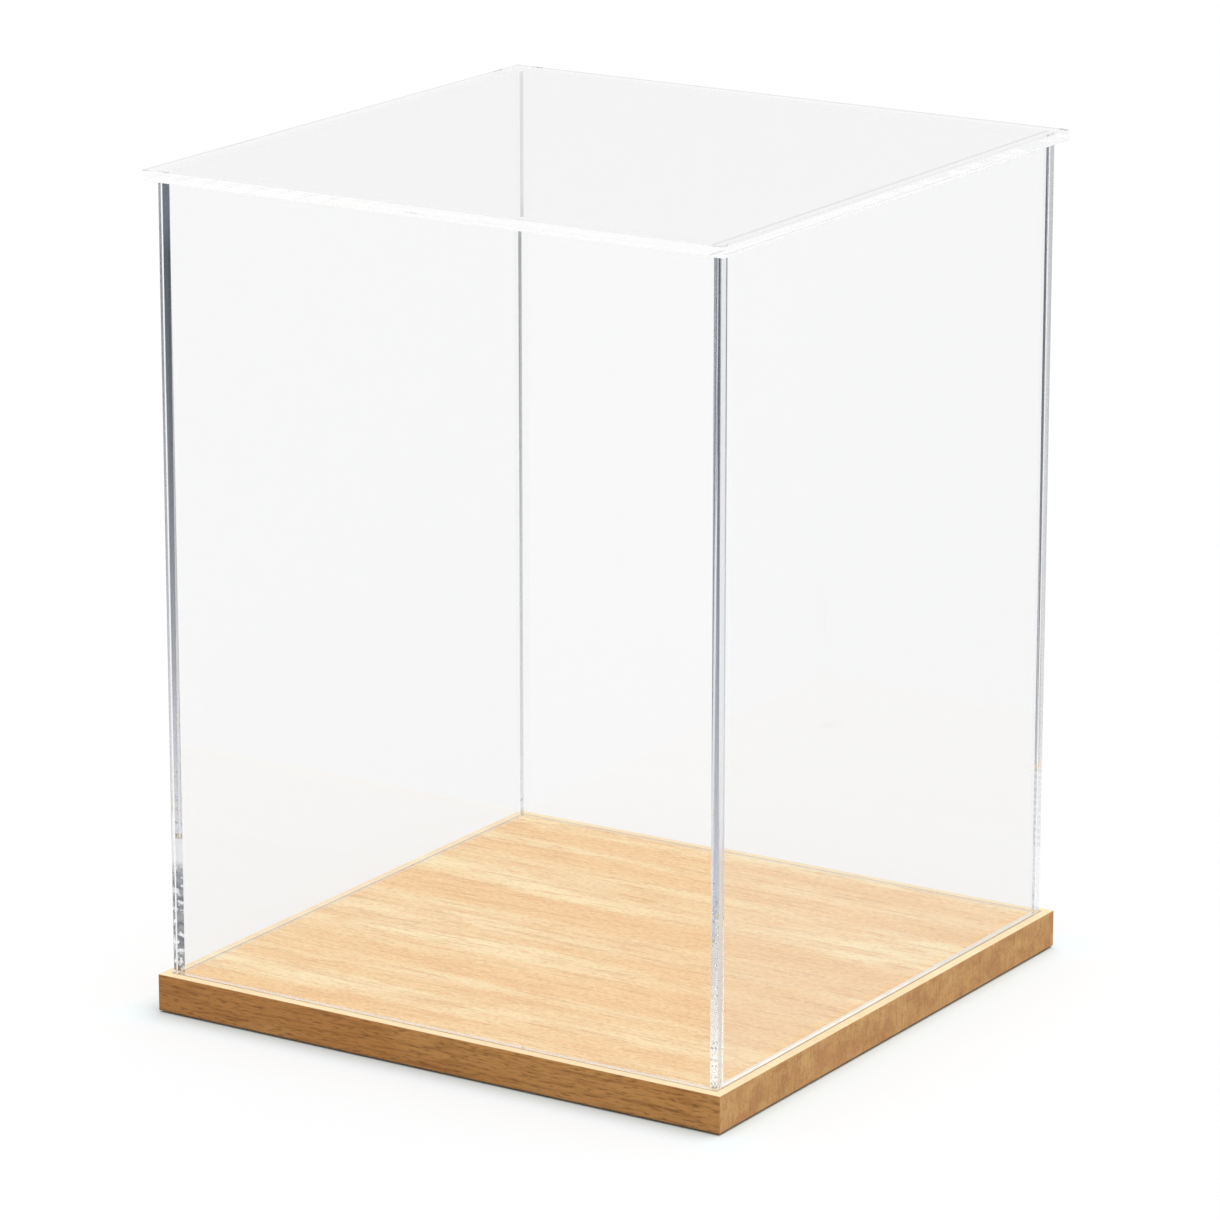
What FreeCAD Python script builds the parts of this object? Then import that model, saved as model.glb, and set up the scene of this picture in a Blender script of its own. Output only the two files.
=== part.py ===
import FreeCAD, Part
import os

# Free-standing display case: a clear acrylic cover that lifts off a wooden base board.
# Millimetres. X runs along the front, Y from front to back, Z up from the table top.
# The origin is on the table top, under the middle of the board.

# Base board, solid wood with its grain along X
board_width = 310.0
board_depth = 310.0
board_thickness = 18.0
board_edge_radius = 0.6  # every arris of the board is sanded round

# Cover, five acrylic sheets bonded edge to face
wall_inset = 5.0  # margin of bare board outside the walls
wall_thickness = 5.0
inside_height = 380.0  # from the board to the underside of the lid
lid_thickness = 5.0
lid_overhang = 5.0  # lid past the outer faces of the walls
wall_arris = 0.9  # upright edges of the walls are bevelled, which leaves a fine groove at each corner joint
lid_arris = 0.3  # edges of the lid are only broken with a scraper

# Thin self-adhesive pads under the corners of the board
pad_diameter = 12.0
pad_thickness = 0.8
pad_edge_radius = 0.25
pad_inset = 25.0  # centre of a pad, in from both edges of the board

# Heights
board_bottom = pad_thickness
board_top = board_bottom + board_thickness
lid_bottom = board_top + inside_height

# Outline of the cover
cover_width = board_width - 2 * wall_inset
cover_depth = board_depth - 2 * wall_inset
side_wall_length = cover_depth - 2 * wall_thickness  # side walls stand between front and back
lid_width = cover_width + 2 * lid_overhang
lid_depth = cover_depth + 2 * lid_overhang

up = FreeCAD.Vector(0, 0, 1)
across = FreeCAD.Vector(1, 0, 0)
back = FreeCAD.Vector(0, 1, 0)
origin = FreeCAD.Vector(0, 0, 0)


def plate(size_x, size_y, size_z, bottom_z):
    """Flat plate, centred on the Z axis."""
    corner = FreeCAD.Vector(-size_x / 2, -size_y / 2, bottom_z)
    return Part.makeBox(size_x, size_y, size_z, corner)


def base_board():
    board = plate(board_width, board_depth, board_thickness, board_bottom)
    return board.makeFillet(board_edge_radius, board.Edges)


def foot_pad(side_x, side_y):
    """Round pad under one corner of the board, with a moulded rim where it meets the table."""
    middle_x = side_x * (board_width / 2 - pad_inset)
    middle_y = side_y * (board_depth / 2 - pad_inset)
    pad = Part.makeCylinder(pad_diameter / 2, pad_thickness, FreeCAD.Vector(middle_x, middle_y, 0))
    rim = min(pad.Edges, key=lambda edge: edge.CenterOfMass.z)
    return pad.makeFillet(pad_edge_radius, [rim])


def upright_sheet(plan):
    """Wall that stands on the board, extruded from its plan."""
    corners = [FreeCAD.Vector(x, y, board_top) for x, y in plan + plan[:1]]
    return Part.Face(Part.makePolygon(corners)).extrude(up * inside_height)


def front_wall():
    """Full-width wall that laps the ends of the side walls, bevelled at its two outer corners."""
    end = cover_width / 2
    outer = -cover_depth / 2
    inner = outer + wall_thickness
    plan = [
        (end, inner),
        (-end, inner),
        (-end, outer + wall_arris),
        (-end + wall_arris, outer),
        (end - wall_arris, outer),
        (end, outer + wall_arris),
    ]
    return upright_sheet(plan)


def right_wall():
    """Side wall, butted between the front and back walls with its outer face flush with their ends."""
    outer = cover_width / 2
    inner = outer - wall_thickness
    end = side_wall_length / 2
    plan = [
        (inner, end),
        (inner, -end),
        (outer - wall_arris, -end),
        (outer, -end + wall_arris),
        (outer, end - wall_arris),
        (outer - wall_arris, end),
    ]
    return upright_sheet(plan)


def lid_panel():
    """Sheet bonded on the tops of all four walls, with every edge broken."""
    lid = plate(lid_width, lid_depth, lid_thickness, lid_bottom)
    return lid.makeChamfer(lid_arris, lid.Edges)


front = front_wall()
right = right_wall()
pieces = {
    "base_board": base_board(),
    "front_wall": front,
    "back_wall": front.mirror(origin, back),
    "right_wall": right,
    "left_wall": right.mirror(origin, across),
    "lid_panel": lid_panel(),
}
for name_y, side_y in (("front", -1), ("back", 1)):
    for name_x, side_x in (("left", -1), ("right", 1)):
        pieces[f"foot_pad_{name_y}_{name_x}"] = foot_pad(side_x, side_y)

os.makedirs("parts", exist_ok=True)
for name, solid in pieces.items():
    solid.exportStep(f"parts/{name}.step")
    size = solid.BoundBox
    print(
        f"{name}: {len(solid.Solids)} solid, {size.XLength:.1f} x {size.YLength:.1f} x {size.ZLength:.1f} mm,"
        f" {solid.Volume / 1000:.2f} cm3"
    )
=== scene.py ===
import math
import bmesh
import bpy
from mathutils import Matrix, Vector


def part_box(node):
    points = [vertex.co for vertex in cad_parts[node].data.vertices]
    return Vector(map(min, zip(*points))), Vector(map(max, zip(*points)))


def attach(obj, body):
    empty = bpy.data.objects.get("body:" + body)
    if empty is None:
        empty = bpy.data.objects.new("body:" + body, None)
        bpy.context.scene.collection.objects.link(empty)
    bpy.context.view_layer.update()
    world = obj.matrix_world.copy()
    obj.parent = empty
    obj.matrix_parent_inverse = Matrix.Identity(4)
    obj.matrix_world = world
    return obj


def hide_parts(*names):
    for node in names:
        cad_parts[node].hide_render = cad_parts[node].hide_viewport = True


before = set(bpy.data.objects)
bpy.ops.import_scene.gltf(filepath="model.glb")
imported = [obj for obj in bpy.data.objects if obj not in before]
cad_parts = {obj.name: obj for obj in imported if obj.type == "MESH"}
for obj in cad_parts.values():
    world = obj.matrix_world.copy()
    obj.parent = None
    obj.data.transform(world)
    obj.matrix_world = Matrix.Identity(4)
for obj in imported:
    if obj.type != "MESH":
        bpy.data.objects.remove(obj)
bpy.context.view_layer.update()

print("frame loaded,", len(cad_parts), "nodes")

scene = bpy.context.scene
mm = 0.001
xAxis = Vector((1, 0, 0))
yAxis = Vector((0, 1, 0))
zAxis = Vector((0, 0, 1))


# colours are written as sRGB hex and turned to linear here
def hexColour(code):
    parts = [int(code[i:i + 2], 16) / 255 for i in (1, 3, 5)]
    linear = [p / 12.92 if p <= 0.04045 else ((p + 0.055) / 1.055) ** 2.4 for p in parts]
    return linear + [1.0]


# one node with its settings; a socket takes a number, a hex colour or another node's output
# (a colour mix has its share at socket 0, its two colours at 6 and 7, and its result at output 2)
def addNode(tree, kind, inputs=None, **settings):
    node = tree.nodes.new(kind)
    for name, value in settings.items():
        setattr(node, name, value)
    for socket, source in (inputs or {}).items():
        if isinstance(source, bpy.types.NodeSocket):
            tree.links.new(source, node.inputs[socket])
        elif isinstance(source, str):
            node.inputs[socket].default_value = hexColour(source)
        else:
            node.inputs[socket].default_value = source
    return node


def newMaterial(name):
    material = bpy.data.materials.new(name)
    material.use_nodes = True
    material.node_tree.nodes.clear()
    return material, material.node_tree


# scale of a pattern from the size of its features along each axis, mm
def patternScale(sizes):
    return [1 / (size * mm) for size in sizes]


def dress(thing, material):
    thing.data.materials.clear()
    thing.data.materials.append(material)


# camera, fitted to the photo's corners
photoView = {
    "aim": (-0.0012, -0.0008, 0.1833),
    "distance": 2.8611,
    "azimuth": 32.529,
    "elevation": 15.627,
    "lens": 179.43,
    "sensor": 36.0,
    "clipEnd": 100.0,
}


def placeCamera(view):
    turn = math.radians(view["azimuth"])
    rise = math.radians(view["elevation"])
    level = math.cos(rise)
    back = Vector((math.sin(turn) * level, -math.cos(turn) * level, math.sin(rise)))
    data = bpy.data.cameras.new("photoCamera")
    data.lens = view["lens"]
    data.sensor_width = view["sensor"]
    data.clip_end = view["clipEnd"]
    camera = bpy.data.objects.new("photoCamera", data)
    camera.location = Vector(view["aim"]) + back * view["distance"]
    camera.rotation_euler = back.to_track_quat("Z", "Y").to_euler()
    scene.collection.objects.link(camera)
    scene.camera = camera


placeCamera(photoView)
print("camera placed")

# studio: white sweep, an even soft sky, one broad lamp from above, a little to the right and behind
studio = {
    "floorHalf": 25.0,             # m
    "floorSeen": "#F6F6F6",        # the sweep as the camera sees it
    "floorShade": "#F2FBFE",       # painted shadow tint: the floor is cooler close to the board
    "shadeReach": (0.155, 0.185),  # m out from the middle
    "paintedUnderShade": "#857C74",       # painted shade in the slit under the board
    "underEdge": (0.153, 0.1555),  # m out from the middle
    "floorBounce": "#E6E6E6",      # as it throws light back
    "mirrorColour": "#E9EAEB",     # painted even tone, as one reflection in a sheet shows it
    "mirrorFar": "#FFFFFF",        # as two or more show it
    "guideFront": "#C3C5C9",       # painted reflection: greyer before the case, as light guided from edge to edge shows it
    "guideBack": "#FFFFFF",        # behind the case
    "guideDark": "#878D97",        # painted reflection: dark behind to the right, standing in for an unlit room
    "darkRight": (-0.10, 0.10),    # m from the middle, where each zone starts and is full
    "darkBack": (0.00, 0.20),
    "darkReach": (-0.20, 1.45),    # the painted dark fades out close to the case
    "mattFrom": 0.5,               # matt surfaces that a ray has met, a half so that counts fall clear
    "mirrorFrom": 0.5,             # reflections that it has met
    "twiceFrom": 1.5,
    "guideFrom": 17.5,             # light that left its sheet after fewer still shows white
    "skyStrength": 0.635,
    "skyColour": "#FFFFFF",
    "skySeen": "#FEFEFE",          # as the camera sees it
    "mirroredSky": "#F1F0F0",      # as one reflection shows it
    "lampStrength": 1.55,
    "lampAngle": 70.0,
    "lampFrom": (0.20, 0.16, 0.95),
    "bounces": 128,                # light runs far inside clear sheet before it leaves an edge
    "clearBounces": 64,
}


# what a ray has met: seen is 1 until it has met a matt surface, mirrored from one reflection on,
# twice from two on, guided when it has run far along the inside of a sheet
def rayKinds(tree):
    path = addNode(tree, "ShaderNodeLightPath").outputs
    tests = {
        "seen": ("Diffuse Depth", "LESS_THAN", studio["mattFrom"]),
        "mirrored": ("Glossy Depth", "GREATER_THAN", studio["mirrorFrom"]),
        "twice": ("Glossy Depth", "GREATER_THAN", studio["twiceFrom"]),
        "guided": ("Glossy Depth", "GREATER_THAN", studio["guideFrom"]),
    }
    kinds = {}
    for name, (count, test, limit) in tests.items():
        kinds[name] = addNode(tree, "ShaderNodeMath", {0: path[count], 1: limit}, operation=test).outputs[0]
    return kinds


def makeWorld():
    world = bpy.data.worlds.new("studioSky")
    world.use_nodes = True
    tree = world.node_tree
    tree.nodes.clear()
    ray = rayKinds(tree)
    sky = addNode(tree, "ShaderNodeBackground",
                  {"Color": studio["skyColour"], "Strength": studio["skyStrength"]})
    once = addNode(tree, "ShaderNodeMath", {0: ray["mirrored"], 1: ray["twice"]}, operation="SUBTRACT")
    colour = addNode(tree, "ShaderNodeMix",
                     {0: once.outputs[0], 6: studio["skySeen"], 7: studio["mirroredSky"]},
                     data_type="RGBA")
    shown = addNode(tree, "ShaderNodeBackground", {"Color": colour.outputs[2], "Strength": 1.0})
    mix = addNode(tree, "ShaderNodeMixShader", {0: ray["seen"], 1: sky.outputs[0], 2: shown.outputs[0]})
    addNode(tree, "ShaderNodeOutputWorld", {"Surface": mix.outputs[0]})
    scene.world = world


# matt paper: even white all round, with a soft shadow at the board; the cooler tint in that shadow, the
# dark slit under the board and the colours the sheets reflect are painted
def whiteSweep():
    material, tree = newMaterial("matt white sweep")
    ray = rayKinds(tree)
    place = addNode(tree, "ShaderNodeTexCoord").outputs["Object"]
    spot = addNode(tree, "ShaderNodeSeparateXYZ", {0: place}).outputs
    away = addNode(tree, "ShaderNodeVectorMath", {0: place}, operation="LENGTH").outputs["Value"]
    apart = addNode(tree, "ShaderNodeVectorMath", {0: place}, operation="ABSOLUTE").outputs[0]
    apartSpot = addNode(tree, "ShaderNodeSeparateXYZ", {0: apart}).outputs
    widest = addNode(tree, "ShaderNodeMath", {0: apartSpot["X"], 1: apartSpot["Y"]},
                     operation="MAXIMUM").outputs[0]

    # zones of the floor, each a number from 0 to 1
    zoneRanges = {
        "clear": (widest, studio["shadeReach"]),
        "open": (widest, studio["underEdge"]),
        "right": (spot["X"], studio["darkRight"]),
        "back": (spot["Y"], studio["darkBack"]),
        "unlit": (away, studio["darkReach"]),
    }
    zones = {}
    for name, (distance, (start, end)) in zoneRanges.items():
        zone = addNode(tree, "ShaderNodeMapRange",
                       {"Value": distance, "From Min": start, "From Max": end},
                       interpolation_type="SMOOTHSTEP")
        zones[name] = zone.outputs[0]
    dark = addNode(tree, "ShaderNodeMath", {0: zones["right"], 1: zones["unlit"]},
                   operation="MULTIPLY").outputs[0]

    # seen straight, or through a sheet
    # painted shadow tint: cooler floor colour close to the board
    lit = addNode(tree, "ShaderNodeMix",
                  {0: zones["clear"], 6: studio["floorShade"], 7: studio["floorSeen"]},
                  data_type="RGBA").outputs[2]
    # painted shade: the floor is dark in the slit under the board
    straight = addNode(tree, "ShaderNodeMix", {0: zones["open"], 6: studio["paintedUnderShade"], 7: lit},
                       data_type="RGBA").outputs[2]
    colour = addNode(tree, "ShaderNodeMix", {0: ray["seen"], 6: studio["floorBounce"], 7: straight},
                     data_type="RGBA").outputs[2]
    matt = addNode(tree, "ShaderNodeBsdfDiffuse", {"Color": colour})

    # seen by reflection in a sheet: painted reflection colours that glow evenly, dark where an unlit room
    # is painted
    behind = addNode(tree, "ShaderNodeMix", {0: dark, 6: studio["guideBack"], 7: studio["guideDark"]},
                     data_type="RGBA").outputs[2]
    along = addNode(tree, "ShaderNodeMix", {0: zones["back"], 6: studio["guideFront"], 7: behind},
                    data_type="RGBA").outputs[2]
    few = addNode(tree, "ShaderNodeMix",
                  {0: ray["twice"], 6: studio["mirrorColour"], 7: studio["mirrorFar"]},
                  data_type="RGBA").outputs[2]
    inSheet = addNode(tree, "ShaderNodeMix", {0: ray["guided"], 6: few, 7: along},
                      data_type="RGBA").outputs[2]
    even = addNode(tree, "ShaderNodeEmission", {"Color": inSheet, "Strength": 1.0})
    inside = addNode(tree, "ShaderNodeMath", {0: ray["seen"], 1: ray["mirrored"]}, operation="MULTIPLY")
    mixed = addNode(tree, "ShaderNodeMixShader",
                    {0: inside.outputs[0], 1: matt.outputs[0], 2: even.outputs[0]})
    addNode(tree, "ShaderNodeOutputMaterial", {"Surface": mixed.outputs[0]})
    return material


def makeFloor():
    half = studio["floorHalf"]
    corners = [(-half, -half, 0), (half, -half, 0), (half, half, 0), (-half, half, 0)]
    mesh = bpy.data.meshes.new("whiteSweep")
    mesh.from_pydata(corners, [], [(0, 1, 2, 3)])
    floor = bpy.data.objects.new("whiteSweep", mesh)
    scene.collection.objects.link(floor)
    dress(floor, whiteSweep())


def makeLamp():
    data = bpy.data.lights.new("broadLamp", "SUN")
    data.energy = studio["lampStrength"]
    data.angle = math.radians(studio["lampAngle"])
    lamp = bpy.data.objects.new("broadLamp", data)
    lamp.rotation_euler = Vector(studio["lampFrom"]).to_track_quat("Z", "Y").to_euler()
    scene.collection.objects.link(lamp)


makeWorld()
makeFloor()
makeLamp()
scene.view_settings.view_transform = "Standard"
scene.cycles.max_bounces = studio["bounces"]
scene.cycles.glossy_bounces = studio["bounces"]
scene.cycles.transmission_bounces = studio["bounces"]
scene.cycles.transparent_max_bounces = studio["clearBounces"]
print("studio lit")

# cover of cast acrylic: nearly colourless, sharp reflections, bright or dark lines at its edges
acrylic = {
    "ior": 1.49,
    "tint": "#FCFCFC",
    "shadowTint": "#FDFDFD",           # each face takes a little of the lamps' light
    "noiseDetail": 2,                  # of every pattern but the cracks
    "edgeTint": "#FFFFFF",
    "edgeWaveSize": 9.0,               # mm, edges are scraped and buffed, less true than the cast faces
    "edgeWaveBump": 0.001,             # mm
    "endRoughness": 0.08,              # the ends of front and back are flamed, a little softer
    "endCloud": "#F4F6F8",             # the front wall's right end came out cloudy
    "endCloudShare": 0.4,
    "endCloudCorner": 0.2,             # the front right corner has x - y above this, m
    "frontTouch": 0.5,                 # share of the front wall's foot that lies on the lacquer
    "closeTouch": 0.85,                # the same for the back and left walls
    "sawWhite": "#F8F1E4",             # foot of the right wall, left as the saw cut it
    "sawBright": "#FFFAF0",
    "sawMarkSize": (0.5, 0.5, 3.0),    # mm
    "sawGrey": "#E4DED3",              # damp patches, more of them towards the back
    "sawPatchSize": (5.0, 9.0, 5.0),   # mm
    "sawPatch": 2.4,                   # how strongly they stand out
    "sawDamp": (-0.03, 0.08),          # m from the middle, where they set in
    "sawRoughness": 0.8,
    "scuffHeight": 1.1,                # mm, the saw also dulled the lower rim of that wall's inner face
    "scuffWhite": "#FFFCF6",
    "scuffShare": 0.65,
    "milkWhite": "#F4F4F4",            # bond under the lid, which dried milky
    "milkCloud": "#EDEDEE",
    "milkCloudSize": 7.0,              # mm
    "milkRight": "#D8DADD",            # over the right wall it starts with a thin grey line
    "milkRightLine": 1.6,              # mm wide
    "milkRoughness": 0.05,
    "bondGrey": "#F7F8F9",             # an upright bond at its top, seen through one of its two faces
    "bondLow": "#F0F1F4",              # low down
    "bondClear": "#FFFFFF",            # and at the foot of the front ones
    "bondFoot": (12.0, 32.0),          # mm above the board, where that ends
    "bondBackGrey": "#B2B6BB",         # the bonds at the back are greyer
    "bondBackLeft": "#808489",         # the left one most, but for a stretch below the lid
    "bondBackTop": "#C6CACE",
    "bondThin": (80.0, 62.0),          # mm below the lid where that starts and is full
    "flawSize": 1.4,                   # mm, bubbles in the upright bonds
    "flawBreak": 0.6,                  # how ragged they are
    "flawFoot": 60.0,                  # mm, they gather in the last stretch above the board
    "flawFrom": (0.50, 0.75),          # noise level where a bubble starts, at the foot and above it
    "flawSoft": 0.06,                  # and how far above that it is full
    "flawWhite": "#FFFFFF",
    "flawGrey": "#BCC2CA",
    "flawShades": (0.4, 0.6),          # noise levels of the two
    "hazeGrey": "#868C93",             # the front left bond dried hazy near its foot, on the wall's end too
    "hazePale": "#B8BCC1",
    "hazeShades": (0.42, 0.62),        # noise levels of the two
    "hazeFoot": (48.0, 55.0),          # mm above the foot where the haze thins out
    "hazeSeat": (0.3, 0.9),            # mm above the foot where it starts
    "hazeCrackSize": (5.0, 5.0, 3.2),  # mm
    "hazeCrackDetail": 3,
    "hazeFrom": (0.42, 0.47),          # noise levels from crack to haze
    "hazeCorner": -0.2,                # the front left corner has x + y below this, m
    "seatGap": 0.12,                   # mm under the walls, where they stand on the wood
    "near": 0.01,                      # mm, what counts as the same place
    "merge": 0.001,                    # mm, corners of the CAD mesh this close are one
    "cutSlack": 0.0001,                # mm, corners this close to a cut lie on it
    "flatten": 0.01,                   # rad, neighbouring CAD faces that bend less are one
    "flat": 0.9,                       # a face points along an axis when its normal does so by this much
}

# shader settings that all the clear faces share
clearSheet = {
    "Base Color": acrylic["tint"],
    "Roughness": 0.0,
    "IOR": acrylic["ior"],
    "Transmission Weight": 1.0,
}


# lets lamps and bounced light through the sheet, so that the board inside is lit
def letLightIn(tree, surface):
    path = addNode(tree, "ShaderNodeLightPath").outputs
    passed = addNode(tree, "ShaderNodeBsdfTransparent", {"Color": acrylic["shadowTint"]})
    lampRays = addNode(tree, "ShaderNodeMixShader",
                       {0: path["Is Shadow Ray"], 1: surface, 2: passed.outputs[0]})
    bounced = addNode(tree, "ShaderNodeMixShader",
                      {0: path["Is Diffuse Ray"], 1: lampRays.outputs[0], 2: passed.outputs[0]})
    addNode(tree, "ShaderNodeOutputMaterial", {"Surface": bounced.outputs[0]})


# polished face: a clear view through, and faint sharp reflections
def castAcrylic():
    material, tree = newMaterial("cast acrylic, polished face")
    clear = addNode(tree, "ShaderNodeBsdfPrincipled", clearSheet)
    letLightIn(tree, clear.outputs[0])
    return material


# saw-cut edge, scraped and buffed: clear, but slightly wavy, so its glints break up
def buffedEdge():
    material, tree = newMaterial("cast acrylic, buffed edge")
    place = addNode(tree, "ShaderNodeTexCoord").outputs["Object"]
    wave = addNode(tree, "ShaderNodeTexNoise",
                   {"Vector": place, "Scale": 1 / (acrylic["edgeWaveSize"] * mm),
                    "Detail": acrylic["noiseDetail"]})
    bump = addNode(tree, "ShaderNodeBump",
                   {"Strength": 1.0, "Distance": acrylic["edgeWaveBump"] * mm,
                    "Height": wave.outputs["Fac"]})
    edge = addNode(tree, "ShaderNodeBsdfPrincipled",
                   {**clearSheet, "Base Color": acrylic["edgeTint"], "Normal": bump.outputs[0]})
    letLightIn(tree, edge.outputs[0])
    return material


# haze over a bond or an end at the front left, broken by clear cracks
def hazeOver(tree, surface):
    place = addNode(tree, "ShaderNodeTexCoord").outputs["Object"]
    spot = addNode(tree, "ShaderNodeSeparateXYZ", {0: place}).outputs
    corner = addNode(tree, "ShaderNodeMath", {0: spot["X"], 1: spot["Y"]}, operation="ADD")
    haze = addNode(tree, "ShaderNodeMath", {0: corner.outputs[0], 1: acrylic["hazeCorner"]},
                   operation="LESS_THAN").outputs[0]
    cracked = addNode(tree, "ShaderNodeMapping",
                      {"Vector": place, "Scale": patternScale(acrylic["hazeCrackSize"])})
    cracks = addNode(tree, "ShaderNodeTexNoise",
                     {"Vector": cracked.outputs[0], "Scale": 1.0, "Detail": acrylic["hazeCrackDetail"]})
    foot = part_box("front_wall")[0].z
    hazeFull, hazeEnd = acrylic["hazeFoot"]
    seatClear, seatHazy = acrylic["hazeSeat"]
    hazeRanges = (
        (spot["Z"], foot + hazeEnd * mm, foot + hazeFull * mm),
        (spot["Z"], foot + seatClear * mm, foot + seatHazy * mm),
        (cracks.outputs["Fac"], *acrylic["hazeFrom"]),
    )
    for value, start, end in hazeRanges:
        share = addNode(tree, "ShaderNodeMapRange",
                        {"Value": value, "From Min": start, "From Max": end})
        haze = addNode(tree, "ShaderNodeMath", {0: haze, 1: share.outputs[0]},
                       operation="MULTIPLY").outputs[0]
    greyEnd, paleStart = acrylic["hazeShades"]
    shades = addNode(tree, "ShaderNodeMapRange",
                     {"Value": cracks.outputs["Color"], "From Min": greyEnd, "From Max": paleStart})
    tone = addNode(tree, "ShaderNodeMix",
                   {0: shades.outputs[0], 6: acrylic["hazeGrey"], 7: acrylic["hazePale"]},
                   data_type="RGBA")
    hazy = addNode(tree, "ShaderNodeBsdfDiffuse", {"Color": tone.outputs[2]})
    return addNode(tree, "ShaderNodeMixShader", {0: haze, 1: surface, 2: hazy.outputs[0]}).outputs[0]


# flamed edge: clear but soft, so that it gathers the white of the room
def flamedEdge():
    material, tree = newMaterial("cast acrylic, flamed edge")
    edge = addNode(tree, "ShaderNodeBsdfPrincipled",
                   {**clearSheet, "Roughness": acrylic["endRoughness"]})
    place = addNode(tree, "ShaderNodeTexCoord").outputs["Object"]
    spot = addNode(tree, "ShaderNodeSeparateXYZ", {0: place}).outputs
    corner = addNode(tree, "ShaderNodeMath", {0: spot["X"], 1: spot["Y"]}, operation="SUBTRACT")
    atRight = addNode(tree, "ShaderNodeMath", {0: corner.outputs[0], 1: acrylic["endCloudCorner"]},
                      operation="GREATER_THAN")
    share = addNode(tree, "ShaderNodeMath", {0: atRight.outputs[0], 1: acrylic["endCloudShare"]},
                    operation="MULTIPLY")
    cloud = addNode(tree, "ShaderNodeBsdfDiffuse", {"Color": acrylic["endCloud"]})
    clouded = addNode(tree, "ShaderNodeMixShader",
                      {0: share.outputs[0], 1: edge.outputs[0], 2: cloud.outputs[0]})
    letLightIn(tree, hazeOver(tree, clouded.outputs[0]))
    return material


# polished foot: it shows white where air is under it and the wood where it lies on the lacquer
def seatedFoot(fit, touch):
    material, tree = newMaterial("cast acrylic, foot " + fit + " on lacquer")
    polished = addNode(tree, "ShaderNodeBsdfPrincipled", clearSheet)
    clear = addNode(tree, "ShaderNodeBsdfTransparent", {"Color": acrylic["tint"]})
    mixed = addNode(tree, "ShaderNodeMixShader", {0: touch, 1: polished.outputs[0], 2: clear.outputs[0]})
    letLightIn(tree, mixed.outputs[0])
    return material


# foot of the right wall as the saw left it: matt white, finely grained, greyer patches towards the back
def sawnFoot():
    material, tree = newMaterial("cast acrylic, sawn foot")
    place = addNode(tree, "ShaderNodeTexCoord").outputs["Object"]
    spot = addNode(tree, "ShaderNodeSeparateXYZ", {0: place}).outputs
    noises = []
    for size in (acrylic["sawMarkSize"], acrylic["sawPatchSize"]):
        mapped = addNode(tree, "ShaderNodeMapping", {"Vector": place, "Scale": patternScale(size)})
        noise = addNode(tree, "ShaderNodeTexNoise",
                        {"Vector": mapped.outputs[0], "Scale": 1.0, "Detail": acrylic["noiseDetail"]})
        noises.append(noise.outputs["Fac"])
    marks, patches = noises
    white = addNode(tree, "ShaderNodeMix",
                    {0: marks, 6: acrylic["sawWhite"], 7: acrylic["sawBright"]}, data_type="RGBA")
    swing = addNode(tree, "ShaderNodeMapRange",
                    {"Value": patches, "To Min": -acrylic["sawPatch"] / 2,
                     "To Max": acrylic["sawPatch"] / 2}, clamp=False)
    dampStart, dampFull = acrylic["sawDamp"]
    backward = addNode(tree, "ShaderNodeMapRange",
                       {"Value": spot["Y"], "From Min": dampStart, "From Max": dampFull})
    damp = addNode(tree, "ShaderNodeMath", {0: backward.outputs[0], 1: swing.outputs[0]},
                   operation="ADD", use_clamp=True)
    tone = addNode(tree, "ShaderNodeMix",
                   {0: damp.outputs[0], 6: white.outputs[2], 7: acrylic["sawGrey"]}, data_type="RGBA")
    matt = addNode(tree, "ShaderNodeBsdfPrincipled",
                   {"Base Color": tone.outputs[2], "Roughness": acrylic["sawRoughness"]})
    addNode(tree, "ShaderNodeOutputMaterial", {"Surface": matt.outputs[0]})
    return material


# rim dulled by the saw: part matt white, part clear
def scuffedRim():
    material, tree = newMaterial("cast acrylic, scuffed rim")
    clear = addNode(tree, "ShaderNodeBsdfPrincipled", clearSheet)
    dull = addNode(tree, "ShaderNodeBsdfDiffuse", {"Color": acrylic["scuffWhite"]})
    mixed = addNode(tree, "ShaderNodeMixShader",
                    {0: acrylic["scuffShare"], 1: clear.outputs[0], 2: dull.outputs[0]})
    letLightIn(tree, mixed.outputs[0])
    return material


# solvent bond under the lid: a wet bead that dried milky white
def milkyBond():
    material, tree = newMaterial("solvent bond, milky")
    place = addNode(tree, "ShaderNodeTexCoord").outputs["Object"]
    spot = addNode(tree, "ShaderNodeSeparateXYZ", {0: place}).outputs
    clouds = addNode(tree, "ShaderNodeTexNoise",
                     {"Vector": place, "Scale": 1 / (acrylic["milkCloudSize"] * mm),
                      "Detail": acrylic["noiseDetail"]})
    white = addNode(tree, "ShaderNodeMix",
                    {0: clouds.outputs["Fac"], 6: acrylic["milkWhite"], 7: acrylic["milkCloud"]},
                    data_type="RGBA")
    halfLine = acrylic["milkRightLine"] * mm / 2
    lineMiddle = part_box("right_wall")[0].x + halfLine
    overRight = addNode(tree, "ShaderNodeMath", {0: spot["X"], 1: lineMiddle, 2: halfLine},
                        operation="COMPARE")
    tone = addNode(tree, "ShaderNodeMix",
                   {0: overRight.outputs[0], 6: white.outputs[2], 7: acrylic["milkRight"]},
                   data_type="RGBA")
    milk = addNode(tree, "ShaderNodeBsdfPrincipled",
                   {"Base Color": tone.outputs[2], "Roughness": acrylic["milkRoughness"]})
    letLightIn(tree, milk.outputs[0])
    return material


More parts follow.
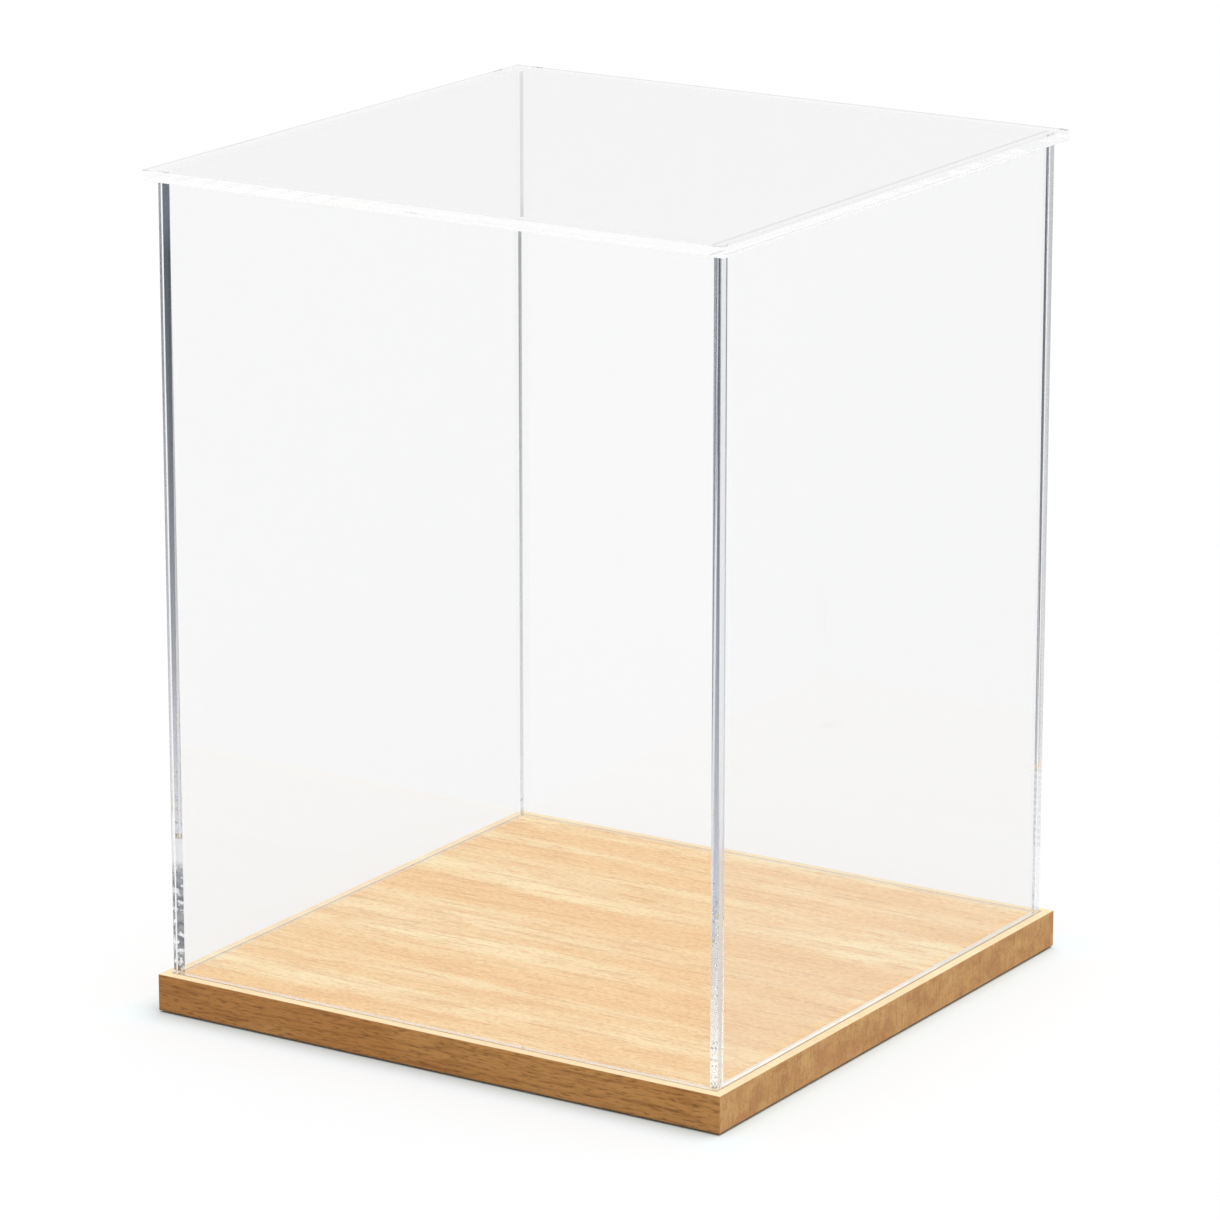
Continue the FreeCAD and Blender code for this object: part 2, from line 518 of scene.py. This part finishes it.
# upright solvent bond: the two sheets are nearly one there, faintly grey, with bubbles near the foot
def solventBond():
    material, tree = newMaterial("solvent bond, clear")
    place = addNode(tree, "ShaderNodeTexCoord").outputs["Object"]
    spot = addNode(tree, "ShaderNodeSeparateXYZ", {0: place}).outputs
    height = spot["Z"]
    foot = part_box("front_wall")[0].z
    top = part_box("front_wall")[1].z

    # places and heights along a bond, each a number from 0 to 1
    atBack = addNode(tree, "ShaderNodeMath", {0: spot["Y"], 1: 0.0}, operation="GREATER_THAN")
    atLeft = addNode(tree, "ShaderNodeMath", {0: spot["X"], 1: 0.0}, operation="LESS_THAN")
    clearEnd, greyStart = acrylic["bondFoot"]
    thinStart, thinFull = acrylic["bondThin"]
    heightRanges = {
        "upward": (foot, top),
        "aboveFoot": (foot + clearEnd * mm, foot + greyStart * mm),
        "nearLid": (top - thinStart * mm, top - thinFull * mm),
    }
    heights = {}
    for name, (start, end) in heightRanges.items():
        share = addNode(tree, "ShaderNodeMapRange",
                        {"Value": height, "From Min": start, "From Max": end})
        heights[name] = share.outputs[0]
    greyLow = addNode(tree, "ShaderNodeMath", {0: heights["aboveFoot"], 1: atBack.outputs[0]},
                      operation="MAXIMUM")

    # grey of the bond, from its foot to its top
    low = addNode(tree, "ShaderNodeMix",
                  {0: greyLow.outputs[0], 6: acrylic["bondClear"], 7: acrylic["bondLow"]},
                  data_type="RGBA")
    leftGrey = addNode(tree, "ShaderNodeMix",
                       {0: heights["nearLid"], 6: acrylic["bondBackLeft"], 7: acrylic["bondBackTop"]},
                       data_type="RGBA")
    backGrey = addNode(tree, "ShaderNodeMix",
                       {0: atLeft.outputs[0], 6: acrylic["bondBackGrey"], 7: leftGrey.outputs[2]},
                       data_type="RGBA")
    high = addNode(tree, "ShaderNodeMix",
                   {0: atBack.outputs[0], 6: acrylic["bondGrey"], 7: backGrey.outputs[2]},
                   data_type="RGBA")
    grey = addNode(tree, "ShaderNodeMix", {0: heights["upward"], 6: low.outputs[2], 7: high.outputs[2]},
                   data_type="RGBA")
    joined = addNode(tree, "ShaderNodeBsdfTransparent", {"Color": grey.outputs[2]})

    # bubbles, fewer the higher up
    bubbles = addNode(tree, "ShaderNodeTexNoise",
                      {"Vector": place, "Scale": 1 / (acrylic["flawSize"] * mm),
                       "Detail": acrylic["noiseDetail"], "Roughness": acrylic["flawBreak"]})
    atFoot, above = acrylic["flawFrom"]
    level = addNode(tree, "ShaderNodeMapRange",
                    {"Value": height, "From Min": foot, "From Max": foot + acrylic["flawFoot"] * mm,
                     "To Min": atFoot, "To Max": above})
    past = addNode(tree, "ShaderNodeMath", {0: bubbles.outputs["Fac"], 1: level.outputs[0]},
                   operation="SUBTRACT")
    flaw = addNode(tree, "ShaderNodeMapRange",
                   {"Value": past.outputs[0], "From Max": acrylic["flawSoft"]})
    whiteEnd, flawGreyStart = acrylic["flawShades"]
    shades = addNode(tree, "ShaderNodeMapRange",
                     {"Value": bubbles.outputs["Color"], "From Min": whiteEnd, "From Max": flawGreyStart})
    tone = addNode(tree, "ShaderNodeMix",
                   {0: shades.outputs[0], 6: acrylic["flawWhite"], 7: acrylic["flawGrey"]},
                   data_type="RGBA")
    bubble = addNode(tree, "ShaderNodeBsdfDiffuse", {"Color": tone.outputs[2]})
    mixed = addNode(tree, "ShaderNodeMixShader",
                    {0: flaw.outputs[0], 1: joined.outputs[0], 2: bubble.outputs[0]})
    letLightIn(tree, hazeOver(tree, mixed.outputs[0]))
    return material


# one sheet from its CAD solid, cut where the finish changes; finishOf names each face's finish
def sheetPiece(node, cuts, finishOf, finishes):
    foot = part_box("front_wall")[0].z
    order = list(finishes)
    shape = bmesh.new()
    shape.from_mesh(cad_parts[node].data)
    bmesh.ops.remove_doubles(shape, verts=shape.verts[:], dist=acrylic["merge"] * mm)
    bmesh.ops.dissolve_limit(shape, angle_limit=acrylic["flatten"], verts=shape.verts[:],
                             edges=shape.edges[:])
    for corner in shape.verts:
        if abs(corner.co.z - foot) < acrylic["near"] * mm:
            corner.co.z += acrylic["seatGap"] * mm
    for axis, place in cuts:
        everything = shape.verts[:] + shape.edges[:] + shape.faces[:]
        bmesh.ops.bisect_plane(shape, geom=everything, plane_co=axis * place, plane_no=axis,
                               dist=acrylic["cutSlack"] * mm)
    bmesh.ops.recalc_face_normals(shape, faces=shape.faces[:])
    for face in shape.faces:
        face.smooth = False
        face.material_index = order.index(finishOf(face.calc_center_median(), face.normal))
    mesh = bpy.data.meshes.new(node + "_sheet")
    shape.to_mesh(mesh)
    shape.free()
    for finish in finishes.values():
        mesh.materials.append(finish)
    piece = bpy.data.objects.new(node + "_sheet", mesh)
    scene.collection.objects.link(piece)
    return piece


def buildCover():
    coverLow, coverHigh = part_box("front_wall")[0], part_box("back_wall")[1]
    roomLow = Vector((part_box("left_wall")[1].x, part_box("front_wall")[1].y, 0))
    roomHigh = Vector((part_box("right_wall")[0].x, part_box("back_wall")[0].y, 0))
    near = acrylic["near"] * mm
    flat = acrylic["flat"]
    scuffTop = coverLow.z + acrylic["scuffHeight"] * mm

    # the outer bevels of a side wall leave a fine groove beside the joint, where the bond ends
    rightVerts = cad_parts["right_wall"].data.vertices
    bondEnd = max(v.co.x for v in rightVerts if abs(v.co.y - roomLow.y) < near)

    # front and back: polished faces, bonded to the side walls' ends and to the lid
    def lappingWall(middle, normal):
        if normal.z > flat:
            return "milky"
        if normal.z < -flat:
            return "loose" if middle.y < 0 else "close"
        inside = abs(middle.y) < coverHigh.y - near
        if abs(normal.y) > flat and inside and roomHigh.x < abs(middle.x) < bondEnd:
            return "bond"
        if abs(normal.x) > flat:
            return "flamed"
        return "face" if abs(normal.y) > flat else "edge"

    # left and right: bonded at both ends and to the lid
    def buttedWall(middle, normal):
        if normal.z < -flat:
            return "sawn" if middle.x > 0 else "close"
        if normal.z > flat:
            return "milky"
        if abs(normal.y) > flat:
            return "bond"
        if middle.x > 0 and normal.x < -flat and middle.z < scuffTop:
            return "scuffed"
        return "face" if abs(normal.x) > flat else "edge"

    # lid: bonded where it lies on the walls
    def lid(middle, normal):
        if normal.z < -flat:
            overCover = abs(middle.x) < coverHigh.x and abs(middle.y) < coverHigh.y
            overRoom = abs(middle.x) < roomHigh.x and abs(middle.y) < roomHigh.y
            return "milky" if overCover and not overRoom else "face"
        return "face" if normal.z > flat else "edge"

    finishes = {
        "face": castAcrylic(),
        "edge": buffedEdge(),
        "bond": solventBond(),
        "sawn": sawnFoot(),
        "milky": milkyBond(),
        "flamed": flamedEdge(),
        "loose": seatedFoot("loose", acrylic["frontTouch"]),
        "close": seatedFoot("close", acrylic["closeTouch"]),
        "scuffed": scuffedRim(),
    }
    wallCuts = [(xAxis, side * place) for side in (-1, 1) for place in (roomHigh.x, bondEnd)]
    lidCuts = [(xAxis, place) for place in (coverLow.x, roomLow.x, roomHigh.x, coverHigh.x)]
    lidCuts += [(yAxis, place) for place in (coverLow.y, roomLow.y, roomHigh.y, coverHigh.y)]
    plans = {
        "front_wall": (wallCuts, lappingWall),
        "back_wall": (wallCuts, lappingWall),
        "left_wall": ([], buttedWall),
        "right_wall": ([(zAxis, scuffTop)], buttedWall),
        "lid_panel": (lidCuts, lid),
    }
    for node, (cuts, finishOf) in plans.items():
        piece = sheetPiece(node, cuts, finishOf, finishes)
        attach(piece, "cover")
        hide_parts(node)


buildCover()
print("cover built")

# solid hardwood board, planed and satin lacquered: honey bands on top, mottled ends; sides and ends browner
# and darker than the top, partly their own grain, partly painted shade
wood = {
    "pale": "#FFE9B9",
    "tan": "#F6CB91",
    "rose": "#EFBD83",
    "streak": "#DAA56E",
    "light": "#FFE7C1",
    "pore": "#CF9E65",
    # sides and ends: their own browner grain, and partly painted shade, darker than the top
    "side": "#BC8244",
    "sideDark": "#905928",
    "sideLight": "#CA9554",
    "sidePore": "#673F1B",
    "sideRed": "#C37E4C",
    "end": "#D1A063",
    "endDark": "#BD8451",
    "endRed": "#B57443",
    "endPore": "#9F6D3D",
    "endLight": "#E8BA7D",
    "paintedLitMargin": "#FFEFC8",        # margin outside the cover: painted light, paler where no sheet shades it
    "paintedLitMarginShare": 0.6,
    "marginBlend": 0.5,           # mm either side of the walls' outer faces
    "paintedSeatShade": "#9C8064",        # painted contact shade along the outer foot of the walls
    "paintedSeatShadeFrom": 0.2,          # mm outside the wall, from where it thins out
    "paintedSeatShadeWidth": 0.65,        # mm
    "paintedLowShade": "#4A3018",         # bottom arris: painted shade, dark where it turns under towards the floor
    "paintedLowShadeFrom": 0.3,           # mm up from the bottom, from where it thins out
    "paintedLowShadeHeight": 0.7,         # mm
    "facing": (0.6, 0.8),         # share of the normal at which one face's grain passes into the next's
    "roughness": 0.5,
    "specular": 0.25,
    "bumpStrength": 0.15,
    "bumpDepth": 0.05,            # mm
    "ringLevels": 6.0,            # growth lines are level lines of a slow pattern

    # noise patterns: mm along the grain, across it and through the board, then detail, roughness
    # and distortion; flecks, dash and speck are pores, drawn coarser than real ones so that they show
    "grain": {
        "bands": ((420, 20, 30), 1, 0.5, 0.2),
        "growth": ((600, 85, 60), 1, 0.5, 0.0),
        "clouds": ((60, 10, 8), 3, 0.6, 0.4),
        "spots": ((15, 6, 4), 2, 0.55, 0.3),
        "streaks": ((34, 2, 2), 2, 0.5, 0.2),
        "flecks": ((3.2, 1.1, 1), 2, 0.6, 0.0),
        "drift": ((75, 60, 30), 2, 0.5, 0.2),
        "fibre": ((26, 6, 2), 2, 0.55, 0.2),
        "dash": ((5.5, 4, 0.75), 2, 0.5, 0.0),
        "mottle": ((200, 18, 11), 3, 0.6, 0.3),
        "rays": ((200, 1.4, 9), 2, 0.5, 0.2),
        "speck": ((200, 1.6, 1.4), 1, 0.5, 0.0),
    },

    # each face's first colour and the layers over it: pattern, from, to, strength, colour
    "faces": {
        "top": ("pale", (
            ("bands", 0.36, 0.64, 0.95, "tan"),
            ("drift", 0.42, 0.62, 0.35, "tan"),
            ("rings", 0.6, 1.0, 0.40, "rose"),
            ("clouds", 0.45, 0.68, 0.48, "rose"),
            ("spots", 0.55, 0.70, 0.5, "rose"),
            ("streaks", 0.50, 0.68, 0.45, "streak"),
            ("flecks", 0.52, 0.68, 0.40, "pore"),
            ("flecks", 0.46, 0.32, 0.45, "light"))),
        "side": ("side", (
            ("drift", 0.42, 0.62, 0.6, "sideLight"),
            ("fibre", 0.45, 0.70, 0.6, "sideDark"),
            ("dash", 0.50, 0.70, 0.55, "sidePore"),
            ("spots", 0.62, 0.78, 0.4, "sideRed"))),
        "end": ("end", (
            ("mottle", 0.42, 0.68, 0.8, "endDark"),
            ("mottle", 0.45, 0.25, 0.4, "endLight"),
            ("spots", 0.55, 0.75, 0.45, "endRed"),
            ("rays", 0.48, 0.70, 0.38, "endPore"),
            ("speck", 0.55, 0.72, 0.40, "endPore"))),
    },
}


def lacqueredWood():
    material, tree = newMaterial("hardwood, satin lacquer")
    place = addNode(tree, "ShaderNodeTexCoord").outputs["Object"]
    patterns = {}
    for name, (size, detail, roughness, distortion) in wood["grain"].items():
        mapped = addNode(tree, "ShaderNodeMapping", {"Vector": place, "Scale": patternScale(size)})
        noise = addNode(tree, "ShaderNodeTexNoise",
                        {"Vector": mapped.outputs[0], "Scale": 1.0, "Detail": detail,
                         "Roughness": roughness, "Distortion": distortion})
        patterns[name] = noise.outputs["Fac"]
    # growth rings: each band deepens slowly and ends in a crisp line
    ringCount = addNode(tree, "ShaderNodeMath", {0: patterns["growth"], 1: wood["ringLevels"]},
                        operation="MULTIPLY")
    rings = addNode(tree, "ShaderNodeMath", {0: ringCount.outputs[0]}, operation="FRACT")
    patterns["rings"] = rings.outputs[0]

    faces = {}
    for face, (base, layers) in wood["faces"].items():
        colour = wood[base]
        for pattern, start, end, strength, shade in layers:
            amount = addNode(tree, "ShaderNodeMapRange",
                             {"Value": patterns[pattern], "From Min": start, "From Max": end,
                              "To Max": strength}, interpolation_type="SMOOTHSTEP")
            colour = addNode(tree, "ShaderNodeMix", {0: amount.outputs[0], 6: colour, 7: wood[shade]},
                             data_type="RGBA").outputs[2]
        faces[face] = colour

    # how far out a spot lies, how high, and which way it faces
    apart = addNode(tree, "ShaderNodeVectorMath", {0: place}, operation="ABSOLUTE")
    spot = addNode(tree, "ShaderNodeSeparateXYZ", {0: apart.outputs[0]}).outputs
    widest = addNode(tree, "ShaderNodeMath", {0: spot["X"], 1: spot["Y"]}, operation="MAXIMUM").outputs[0]
    normal = addNode(tree, "ShaderNodeNewGeometry").outputs["Normal"]
    facing = addNode(tree, "ShaderNodeVectorMath", {0: normal}, operation="ABSOLUTE")
    facingSpot = addNode(tree, "ShaderNodeSeparateXYZ", {0: facing.outputs[0]}).outputs
    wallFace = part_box("front_wall")[1].x
    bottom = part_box("base_board")[0].z
    blend = wood["marginBlend"] * mm
    lineStart = wallFace + wood["paintedSeatShadeFrom"] * mm
    lineEnd = lineStart + wood["paintedSeatShadeWidth"] * mm
    edgeStart = bottom + wood["paintedLowShadeFrom"] * mm
    edgeEnd = bottom + wood["paintedLowShadeHeight"] * mm
    zoneRanges = {
        "outside": (widest, wallFace - blend, wallFace + blend),
        "pastLine": (widest, lineStart, lineEnd),
        "aboveEdge": (spot["Z"], edgeStart, edgeEnd),
        "endwise": (facingSpot["X"], *wood["facing"]),
        "upward": (facingSpot["Z"], *wood["facing"]),
    }
    zones = {}
    for name, (measure, start, end) in zoneRanges.items():
        zone = addNode(tree, "ShaderNodeMapRange",
                       {"Value": measure, "From Min": start, "From Max": end},
                       interpolation_type="SMOOTHSTEP")
        zones[name] = zone.outputs[0]

    # painted light: the margin outside the cover is paler, where no sheet shades it
    margin = addNode(tree, "ShaderNodeMix",
                     {0: wood["paintedLitMarginShare"], 6: faces["top"], 7: wood["paintedLitMargin"]}, data_type="RGBA")
    # painted shade: a dark line on the lacquer along the walls' outer foot
    seatShaded = addNode(tree, "ShaderNodeMix",
                    {0: zones["pastLine"], 6: wood["paintedSeatShade"], 7: margin.outputs[2]}, data_type="RGBA")
    top = addNode(tree, "ShaderNodeMix",
                  {0: zones["outside"], 6: faces["top"], 7: seatShaded.outputs[2]}, data_type="RGBA")
    # partly painted shade: faces that don't face up take the browner, darker side and end colours
    around = addNode(tree, "ShaderNodeMix",
                     {0: zones["endwise"], 6: faces["side"], 7: faces["end"]}, data_type="RGBA")
    # painted shade: the bottom arris turns dark
    sides = addNode(tree, "ShaderNodeMix",
                    {0: zones["aboveEdge"], 6: wood["paintedLowShade"], 7: around.outputs[2]}, data_type="RGBA")
    colour = addNode(tree, "ShaderNodeMix",
                     {0: zones["upward"], 6: sides.outputs[2], 7: top.outputs[2]}, data_type="RGBA")
    bump = addNode(tree, "ShaderNodeBump",
                   {"Strength": wood["bumpStrength"], "Distance": wood["bumpDepth"] * mm,
                    "Height": patterns["streaks"]})
    shader = addNode(tree, "ShaderNodeBsdfPrincipled",
                     {"Base Color": colour.outputs[2], "Roughness": wood["roughness"],
                      "Specular IOR Level": wood["specular"], "Normal": bump.outputs[0]})
    addNode(tree, "ShaderNodeOutputMaterial", {"Surface": shader.outputs[0]})
    return material


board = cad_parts["base_board"]
dress(board, lacqueredWood())
board.visible_glossy = False  # the sheets mirror the white sweep, not the board
print("board dressed")

# foam rubber pads, die-cut: matt near-black with fine open cells
pad = {
    "colour": "#1C1B1A",
    "cell": "#34312E",
    "cellSize": 0.6,          # mm
    "cellDetail": 2,
    "cellBreak": 0.6,         # how ragged the cells are
    "cellFrom": (0.4, 0.65),  # noise levels from rubber to cell
    "roughness": 0.9,
    "bumpStrength": 0.4,
    "bumpDepth": 0.1,         # mm
}


def foamRubber():
    material, tree = newMaterial("foam rubber, die-cut")
    place = addNode(tree, "ShaderNodeTexCoord").outputs["Object"]
    cells = addNode(tree, "ShaderNodeTexNoise",
                    {"Vector": place, "Scale": 1 / (pad["cellSize"] * mm),
                     "Detail": pad["cellDetail"], "Roughness": pad["cellBreak"]})
    rubberEnd, cellStart = pad["cellFrom"]
    amount = addNode(tree, "ShaderNodeMapRange",
                     {"Value": cells.outputs["Fac"], "From Min": rubberEnd, "From Max": cellStart},
                     interpolation_type="SMOOTHSTEP")
    colour = addNode(tree, "ShaderNodeMix", {0: amount.outputs[0], 6: pad["colour"], 7: pad["cell"]},
                     data_type="RGBA")
    bump = addNode(tree, "ShaderNodeBump",
                   {"Strength": pad["bumpStrength"], "Distance": pad["bumpDepth"] * mm,
                    "Height": cells.outputs["Fac"]})
    shader = addNode(tree, "ShaderNodeBsdfPrincipled",
                     {"Base Color": colour.outputs[2], "Roughness": pad["roughness"],
                      "Normal": bump.outputs[0]})
    addNode(tree, "ShaderNodeOutputMaterial", {"Surface": shader.outputs[0]})
    return material


padRubber = foamRubber()
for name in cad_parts:
    if name.startswith("foot_pad"):
        dress(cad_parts[name], padRubber)
print("pads dressed")
